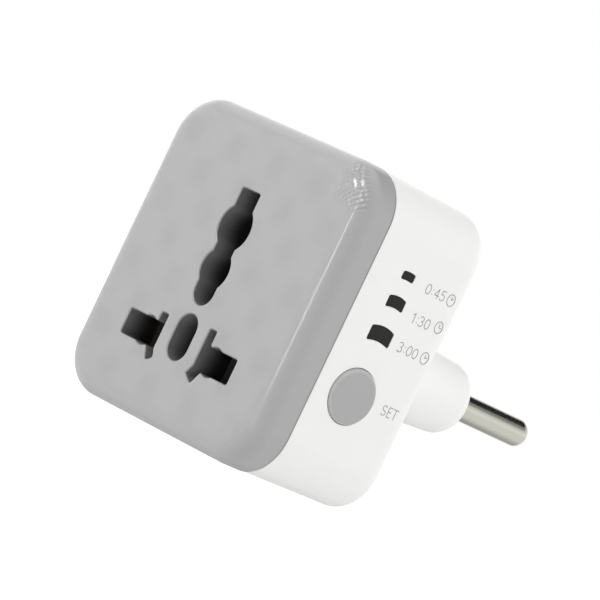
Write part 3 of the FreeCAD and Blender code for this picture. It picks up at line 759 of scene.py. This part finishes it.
class Glyph(Enum):
    """Printed characters."""

    ZERO = Character(0.68, (arc((0.34, 0.5), (0.31, 0.5), WHOLE_TURN, 33),))
    ONE = Character(0.5, (straight((0.06, 0.78), (0.34, 1.0), (0.34, 0.0)),))
    THREE = Character(0.66, (np.concatenate([arc((0.28, 0.76), (0.27, 0.24), (150.0, -90.0), 16),
                                             arc((0.28, 0.26), (0.32, 0.26), (80.0, -150.0), 18)]),))
    FOUR = Character(0.68, (straight((0.5, 0.0), (0.5, 1.0), (0.04, 0.28), (0.68, 0.28)),))
    FIVE = Character(0.68, (np.concatenate([straight((0.58, 1.0), (0.14, 1.0), (0.1, 0.56)),
                                            arc((0.3, 0.31), (0.31, 0.31), (115.0, -145.0), 18)]),))
    COLON = Character(0.26, (arc((0.14, 0.68), (0.02, 0.02), (0.0, 180.0), 3),
                            arc((0.14, 0.2), (0.02, 0.02), (0.0, 180.0), 3)))
    S = Character(0.62, (np.concatenate([arc((0.3, 0.75), (0.25, 0.25), (35.0, 270.0), 18),
                                         arc((0.3, 0.25), (0.27, 0.25), (90.0, -145.0), 18)]),))
    E = Character(0.56, (straight((0.54, 1.0), (0.08, 1.0), (0.08, 0.0), (0.54, 0.0)),
                         straight((0.08, 0.52), (0.46, 0.52))))
    T = Character(0.66, (straight((0.0, 1.0), (0.66, 1.0)), straight((0.33, 1.0), (0.33, 0.0))))


@dataclass
class SidePrint:
    """Printed times, clock signs and button label on the housing's +X side.

    A place on the side is a depth behind the socket face and a height above the body's middle. Letters read
    with the depth as their line. The cross-section of a line is a low arch, whose points are shares of half
    the line's width and of how proud it stands. The round ends are shares of half the width past a stroke's
    end. Each label has its characters, the depth at which it starts and the height of its foot. Each clock
    sign has the depth and height of its middle and the turn of its short hand.
    """

    parting_step: float = 0.12
    back_draft: float = 0.6
    height: float = 1.65
    gap: float = 0.14
    spacing: float = 1.04
    line: float = 0.15
    proud: float = 0.02
    sunk: float = 0.03
    arch: tuple[Pair, ...] = ((-1.0, 0.3), (-0.8, 0.9), (0.0, 1.0), (0.8, 0.9), (1.0, 0.3))
    round_ends: tuple[float, ...] = (0.3, 0.6, 0.9, 0.999)
    step: float = 0.09
    fewest_steps: int = 4
    probe: float = 0.02
    dial: Pair = (0.85, 1.0)
    hands: Pair = (0.5, 0.55)
    labels: dict[str, tuple[tuple[Glyph, ...], float, float]] = field(default_factory=lambda: {
        "print_0_45": ((Glyph.ZERO, Glyph.COLON, Glyph.FOUR, Glyph.FIVE), 20.05, 11.85),
        "print_1_30": ((Glyph.ONE, Glyph.COLON, Glyph.THREE, Glyph.ZERO), 19.95, 6.6),
        "print_3_00": ((Glyph.THREE, Glyph.COLON, Glyph.ZERO, Glyph.ZERO), 20.0, 1.42),
        "print_set": ((Glyph.S, Glyph.E, Glyph.T), 22.75, -9.0),
    })
    clocks: dict[str, tuple[float, float, float]] = field(default_factory=lambda: {
        "clock_0_45": (26.13, 12.6, 45.0),
        "clock_1_30": (26.26, 7.75, 0.0),
        "clock_3_00": (26.33, 2.25, 20.0),
    })

    def on_side(self, flat: np.ndarray, lift: np.ndarray) -> np.ndarray:
        """Carries points onto the side: x is the wall's drafted face plus the lift.

        Args:
            flat: Depth and height of each point.
            lift: Distance of each point outwards from the wall's face.

        Returns:
            The points in the frame, in millimetres.
        """
        depth, height = flat[..., 0], flat[..., 1]
        share = (depth - COVER_DEPTH) / (BODY_DEPTH - COVER_DEPTH)
        inset = self.parting_step + (self.back_draft - self.parting_step) * share
        return np.stack([HALF_WIDTH - inset + lift, FRONT_Y + depth, MIDDLE_Z + height], axis=-1)

    @staticmethod
    def along(path: np.ndarray, travel: np.ndarray, place: np.ndarray) -> np.ndarray:
        """Points of a path at distances travelled along it, held at its two ends."""
        return np.stack([np.interp(place, travel, path[:, axis]) for axis in (0, 1)], axis=-1)

    def stroke(self, path: np.ndarray) -> np.ndarray:
        """Carries a low flat-bottomed profile along a stroke, with round ends.

        The path is resampled at even steps. At each step the profile's half width is half the line, times
        the square root of 1 minus the squared overrun past either end, so the ends are half discs. Points
        round the profile lie at its two lower corners and over the arch.

        Args:
            path: Points of the stroke as depth and height.

        Returns:
            The grid of the closed tube, shaped along, round, 3.
        """
        half = self.line / 2
        travel = np.concatenate([[0.0], np.cumsum(np.linalg.norm(np.diff(path, axis=0), axis=1))])
        length = travel[-1]
        inner = np.linspace(0.0, length, max(self.fewest_steps, int(length / self.step)))
        ends = np.array(self.round_ends) * half
        place = np.concatenate([-ends[::-1], inner, length + ends])
        held = np.clip(place, 0.0, length)
        overrun = place - held
        ahead = self.along(path, travel, held + self.probe) - self.along(path, travel, held - self.probe)
        ahead /= np.linalg.norm(ahead, axis=1, keepdims=True)
        middle = self.along(path, travel, held) + ahead * overrun[:, None]
        aside = np.stack([-ahead[:, 1], ahead[:, 0]], axis=-1)
        width = half * np.sqrt(np.maximum(1.0 - (overrun / half) ** 2, 0.0))
        arch = np.array(self.arch)
        across = np.concatenate([[-1.0], arch[:, 0], [1.0]])
        lift = np.concatenate([[-self.sunk], arch[:, 1] * self.proud, [-self.sunk]])
        flat = middle[:, None, :] + aside[:, None, :] * (width[:, None] * across)[..., None]
        return self.on_side(flat, np.broadcast_to(lift, flat.shape[:2]))

    def label(self, name: str, glyphs: tuple[Glyph, ...], depth: float, foot: float) -> bpy.types.Object:
        """Builds one line of characters.

        Args:
            name: Name of the piece.
            glyphs: Its characters in order.
            depth: Depth at which the first one starts.
            foot: Height of the line on which they stand.

        Returns:
            The piece.
        """
        strokes = []
        for glyph in glyphs:
            character = glyph.value
            strokes += [self.stroke(path * self.height + (depth, foot)) for path in character.strokes]
            depth += (character.width + self.gap) * self.height * self.spacing
        return surface_piece(name, strokes, Palette.INK)

    def clock(self, name: str, depth: float, height: float, turn: float) -> bpy.types.Object:
        """Builds one clock sign: a ring with one hand up and a shorter one turned.

        Args:
            name: Name of the piece.
            depth: Depth of its middle.
            height: Height of its middle.
            turn: Degrees by which the shorter hand is turned up from the way that letters read.

        Returns:
            The piece.
        """
        short, upright = self.hands
        angle = math.radians(turn)
        tip = (depth + short * math.cos(angle), height + short * math.sin(angle))
        ring = arc((depth, height), self.dial, WHOLE_TURN, 41)
        hands = straight((depth, height + upright), (depth, height), tip)
        return surface_piece(name, [self.stroke(ring), self.stroke(hands)], Palette.INK)

    def dress(self) -> None:
        """Builds the print and sets it on the housing."""
        pieces = [self.label(name, *line) for name, line in self.labels.items()]
        pieces += [self.clock(name, *sign) for name, sign in self.clocks.items()]
        for piece in pieces:
            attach(piece, "housing")
            log.info("%s: %d faces", piece.name, len(piece.data.polygons))


@dataclass
class Assembly:
    """Sub-assembly whose CAD nodes each take a finish."""

    finishes: dict[str, Palette]

    def dress(self, nodes: dict[str, bpy.types.Object]) -> None:
        """Gives every node of the sub-assembly its finish.

        Args:
            nodes: The frame's nodes by name.
        """
        for name, finish in self.finishes.items():
            mesh = nodes[name].data
            if not mesh.materials:
                mesh.materials.append(finish.material)
            for number in range(len(mesh.materials)):
                mesh.materials[number] = finish.material
            log.info("%s: %s", name, finish.value.name)


@dataclass
class Housing(Assembly):
    """Grey socket cover, white housing, its screws, the smoked windows and the side's print."""

    finishes: dict[str, Palette] = field(default_factory=lambda: {
        "front_cover": Palette.COVER,
        "rear_housing": Palette.HOUSING,
        "housing_screws": Palette.ZINC,
        "window_lens": Palette.LENS,
    })
    side_print: SidePrint = field(default_factory=SidePrint)

    def dress(self, nodes: dict[str, bpy.types.Object]) -> None:
        """Finishes the covers and prints the side."""
        super().dress(nodes)
        self.side_print.dress()


@dataclass
class Plug(Assembly):
    """Round pins, the block that locks them in the neck, and their leads."""

    finishes: dict[str, Palette] = field(default_factory=lambda: {
        "live_pin": Palette.PIN,
        "neutral_pin": Palette.PIN,
        "plug_insert": Palette.IVORY,
        "live_lead": Palette.BROWN,
        "neutral_lead": Palette.BLUE,
    })


@dataclass
class Socket(Assembly):
    """Contact carrier and the two sprung contacts behind the holes."""

    finishes: dict[str, Palette] = field(default_factory=lambda: {
        "contact_carrier": Palette.CARRIER,
        "live_contact": Palette.BRASS,
        "neutral_contact": Palette.BRASS,
    })


@dataclass
class Circuit(Assembly):
    """Main board and the parts on its two faces."""

    finishes: dict[str, Palette] = field(default_factory=lambda: {
        "main_board": Palette.BOARD,
        "relay_case": Palette.RELAY,
        "relay_terminals": Palette.TIN,
        "film_capacitor": Palette.FILM,
        "electrolytic_capacitor": Palette.CAN,
        "varistor": Palette.VARISTOR,
        "bridge_rectifier": Palette.CHIP,
        "dropper_resistors": Palette.CHIP,
        "thermal_fuse": Palette.FUSE,
        "zener_diode": Palette.CHIP,
        "driver_transistor": Palette.CHIP,
        "timer_chip": Palette.CHIP,
    })


@dataclass
class Display(Assembly):
    """Upright board with the lamps behind the windows, and the set button with its switch."""

    finishes: dict[str, Palette] = field(default_factory=lambda: {
        "display_board": Palette.UPRIGHT_BOARD,
        "led_0_45": Palette.LED,
        "led_1_30": Palette.LED,
        "led_3_00": Palette.LED,
        "light_baffle": Palette.IVORY,
        "tact_switch": Palette.SWITCH,
        "switch_plunger": Palette.SWITCH,
        "set_button": Palette.BUTTON,
    })


def viewing_axes(azimuth: float, elevation: float, roll: float = 0.0) -> np.ndarray:
    """Axes of something that looks at the object: right, up and back as columns.

    Back is (sin a cos e, -cos a cos e, sin e), level right is (cos a, sin a, 0), up is their cross product,
    and right and up are then turned about back by the roll.

    Args:
        azimuth: Degrees round from in front of the socket face, towards +X.
        elevation: Degrees above level.
        roll: Degrees by which it is turned about its line of sight.

    Returns:
        The axes, shaped 3, 3.
    """
    a, e, r = np.radians([azimuth, elevation, roll])
    back = np.array([math.sin(a) * math.cos(e), -math.cos(a) * math.cos(e), math.sin(e)])
    level = np.array([math.cos(a), math.sin(a), 0.0])
    plumb = np.cross(back, level)
    right = math.cos(r) * level + math.sin(r) * plumb
    up = math.cos(r) * plumb - math.sin(r) * level
    return np.stack([right, up, back], axis=1)


def standing(axes: np.ndarray, place: np.ndarray) -> Matrix:
    """Matrix of an object with these axes at a place.

    Args:
        axes: Its x, y and z directions as columns.
        place: Its place in metres.

    Returns:
        The matrix.
    """
    matrix = np.eye(4)
    matrix[:3, :3] = axes
    matrix[:3, 3] = place
    return Matrix(matrix.tolist())


def flat_sheet(name: str, outline: np.ndarray, material: bpy.types.Material) -> bpy.types.Object:
    """Makes a flat sheet for the studio.

    Args:
        name: Name of the sheet.
        outline: Its four corners in order, in metres.
        material: Its material.

    Returns:
        The sheet.
    """
    mesh = bpy.data.meshes.new(name)
    mesh.from_pydata(outline.tolist(), [], [(0, 1, 2, 3)])
    mesh.materials.append(material)
    sheet = bpy.data.objects.new(name, mesh)
    bpy.context.scene.collection.objects.link(sheet)
    return sheet


@dataclass(frozen=True)
class Lamp:
    """Rectangular lamp, placed by direction from the object and turned to face it.

    Its distance and size are metres. A mirrored lamp shows only in gloss. The others light without a
    reflection, as lamps behind a scrim do.
    """

    name: str
    azimuth: float
    elevation: float
    distance: float
    size: Pair
    watts: float
    mirrored: bool = False

    def place(self, aim: np.ndarray) -> None:
        """Makes the lamp.

        Args:
            aim: Point that the lamp faces, in metres.
        """
        axes = viewing_axes(self.azimuth, self.elevation)
        light = bpy.data.lights.new(self.name, "AREA")
        light.shape = "RECTANGLE"
        light.size, light.size_y = self.size
        light.energy = self.watts
        lamp = bpy.data.objects.new(self.name, light)
        lamp.matrix_world = standing(axes, aim + axes[:, 2] * self.distance)
        lamp.visible_camera = False
        lamp.visible_glossy = self.mirrored
        lamp.visible_diffuse = not self.mirrored
        bpy.context.scene.collection.objects.link(lamp)
        log.info("%s: %.2f W", self.name, self.watts)


@dataclass(frozen=True)
class Card:
    """Card that only mirror reflections show, for the dark bands along polished metal.

    Its distance and size are metres. Its tone is a screen level, which varies by the drift over clouds as
    wide as cloud says, in millimetres.
    """

    name: str
    azimuth: float
    elevation: float
    roll: float
    distance: float
    size: Pair
    tone: float
    drift: float = 6.0
    cloud: float = 300.0

    def finish(self) -> bpy.types.Material:
        """Builds the card's even glow.

        Returns:
            The material.
        """
        material, bench = new_material(self.name)
        clouds = bench.noise(bench.millimetres(), self.cloud)
        shade = bench.blend(clouds, grey(self.tone - self.drift), grey(self.tone + self.drift))
        bench.finish(bench.shader("Emission", {"Color": shade, "Strength": 1.0}))
        return material

    def place(self, aim: np.ndarray) -> None:
        """Makes the card, square to its direction from the aim.

        Args:
            aim: Point that the card faces, in metres.
        """
        axes = viewing_axes(self.azimuth, self.elevation, self.roll)
        reach = axes[:, :2] * (np.array(self.size) / 2)
        card = flat_sheet(self.name, aim + axes[:, 2] * self.distance + SQUARE @ reach.T, self.finish())
        card.visible_camera = False
        card.visible_diffuse = False
        card.visible_shadow = False
        log.info("%s: level %.0f", self.name, self.tone)


@dataclass
class Studio:
    """Camera, soft lamps, pale floor and white surroundings.

    Places and distances are metres, and the lens is millimetres. What gloss mirrors of the sky and the floor
    is set apart from what is seen of them. The mirrored sky's pair is its strength low and high, over the
    rise of its direction. The floor's pairs are its strength near a place and far from it, over a reach in
    millimetres: it is lifted by its distance from the middle, and mirrored by its distance from the shade,
    so that gloss sees a painted shadow on the floor near that place.
    """

    aim: tuple[float, float, float] = (-0.00077, -0.0299, 0.00461)
    azimuth: float = 49.99
    elevation: float = 0.06
    roll: float = 25.49
    distance: float = 0.8691
    focal: float = 314.32
    sensor: float = 36.0
    farthest: float = 50.0
    ambient: float = 0.3
    sky_mirrored: Pair = (1.0, 0.6)
    sky_rise: Pair = (0.12, 0.5)
    floor_z: float = -0.085
    floor_half: float = 6.0
    floor_tone: float = 234.0
    floor_drift: float = 3.0
    floor_grain: float = 2.0
    floor_middle: tuple[float, float, float] = (0.0, 0.0, 0.0)
    floor_lift: Pair = (0.14, 0.95)
    floor_reach: Pair = (100.0, 500.0)
    # Painted shadow in the floor's image in gloss: dimmest near this place, brighter away from it.
    floor_shade: tuple[float, float, float] = (-60.0, 60.0, -85.0)
    floor_mirrored: Pair = (0.3, 0.88)
    floor_fall: Pair = (0.0, 150.0)
    lamps: tuple[Lamp, ...] = (
        Lamp("lamp_front", -15.0, 24.0, 1.0, (0.9, 0.7), watts=7.0),
        Lamp("lamp_side", 122.0, 20.0, 1.0, (1.3, 1.0), watts=6.3),
        Lamp("lamp_top", 180.0, 78.0, 1.0, (1.2, 1.2), watts=4.5),
        Lamp("lamp_left", -105.0, 18.0, 1.0, (0.9, 0.6), watts=2.6),
        Lamp("lamp_strip", 10.0, 17.0, 0.6, (0.035, 0.42), watts=0.75, mirrored=True),
        Lamp("lamp_rim", -106.0, 30.0, 1.0, (0.9, 0.6), watts=0.6, mirrored=True),
        Lamp("lamp_corner", 2.0, 46.0, 0.6, (0.12, 0.12), watts=1.0, mirrored=True),
        Lamp("lamp_glint", -24.0, 24.0, 0.6, (0.12, 0.1), watts=1.1, mirrored=True),
    )
    cards: tuple[Card, ...] = (
        Card("dark_card", 188.0, 48.0, -10.0, 1.2, (1.1, 0.45), tone=12.0),
        Card("grey_card", 147.0, 39.0, 35.0, 1.25, (0.42, 0.42), tone=145.0),
    )

    def place_camera(self) -> None:
        """Makes the camera at the photograph's place."""
        axes = viewing_axes(self.azimuth, self.elevation, self.roll)
        data = bpy.data.cameras.new("camera")
        data.sensor_width = self.sensor
        data.lens = self.focal
        data.clip_end = self.farthest
        camera = bpy.data.objects.new("camera", data)
        camera.matrix_world = standing(axes, np.array(self.aim) + axes[:, 2] * self.distance)
        bpy.context.scene.collection.objects.link(camera)
        bpy.context.scene.camera = camera

    @staticmethod
    def seen(bench: Bench, direct: Number, mirrored: Number) -> Signal:
        """Brightness that is shown only to rays that look at the surroundings.

        Args:
            bench: Bench of the world or of a stage piece.
            direct: Brightness for camera and clear rays.
            mirrored: Brightness for mirror rays.

        Returns:
            The brightness, and zero for the rays that carry light.
        """
        camera, glossy, clear = [bench.signal("ShaderNodeLightPath", output=name) for name in (
            "Is Camera Ray", "Is Glossy Ray", "Is Transmission Ray")]
        return (camera.highest(clear) * direct).highest(glossy * mirrored)

    def fill_world(self) -> None:
        """Makes the surroundings: even light, white where they are seen, and in gloss dimmer high up."""
        world = bpy.data.worlds.new("surroundings")
        world.use_nodes = True
        bpy.context.scene.world = world
        bench = Bench(world.node_tree)
        _, _, up = bench.axes(bench.signal("ShaderNodeTexCoord", output="Generated"))
        light = bench.shader("Background", {"Color": WHITE, "Strength": self.ambient})
        white = bench.shader("Background", {"Color": WHITE, "Strength": 1.0})
        shown = self.seen(bench, 1.0, up.glide(self.sky_rise, self.sky_mirrored))
        bench.finish(bench.choice(shown, light, white), "ShaderNodeOutputWorld")

    def floor_finish(self) -> bpy.types.Material:
        """Builds the floor's material.

        It takes the shadow and is lifted to white where it is seen. Gloss sees a painted image of the floor
        instead, with a painted shadow that makes it dimmer behind the object.

        Returns:
            The material.
        """
        material, bench = new_material("floor_white")
        place = bench.millimetres()
        tone = bench.blend(bench.noise(place, self.floor_grain), grey(self.floor_tone),
                           grey(self.floor_tone + self.floor_drift))
        glow = bench.distance(place, self.floor_middle).glide(self.floor_reach, self.floor_lift)
        # Painted shadow: the floor's image in gloss is dimmer near the shade's place.
        image = bench.distance(place, self.floor_shade).glide(self.floor_fall, self.floor_mirrored)
        lit = bench.shader("AddShader", {
            0: bench.shader("BsdfDiffuse", {"Color": tone}),
            1: bench.shader("Emission", {"Strength": self.seen(bench, glow, 0.0)}),
        })
        glossy = bench.signal("ShaderNodeLightPath", output="Is Glossy Ray")
        bench.finish(bench.choice(glossy, lit, bench.shader("Emission", {"Strength": image})))
        return material

    def lay_floor(self) -> None:
        """Makes the pale floor."""
        outline = np.column_stack([SQUARE * self.floor_half, np.full(len(SQUARE), self.floor_z)])
        floor = flat_sheet("floor", outline, self.floor_finish())
        log.info("%s: level %.0f", floor.name, self.floor_tone)

    def build(self) -> None:
        """Sets up the whole studio."""
        self.place_camera()
        self.fill_world()
        self.lay_floor()
        for piece in self.lamps + self.cards:
            piece.place(np.array(self.aim))


def main() -> None:
    """Loads the frame, dresses every sub-assembly and sets up the studio."""
    logging.basicConfig(level=logging.INFO, format="%(message)s")
    bpy.context.scene.view_settings.view_transform = "Standard"
    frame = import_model()
    for assembly in (Housing(), Plug(), Socket(), Circuit(), Display()):
        assembly.dress(frame["nodes"])
    Studio().build()


if __name__ == "__main__":
    main()
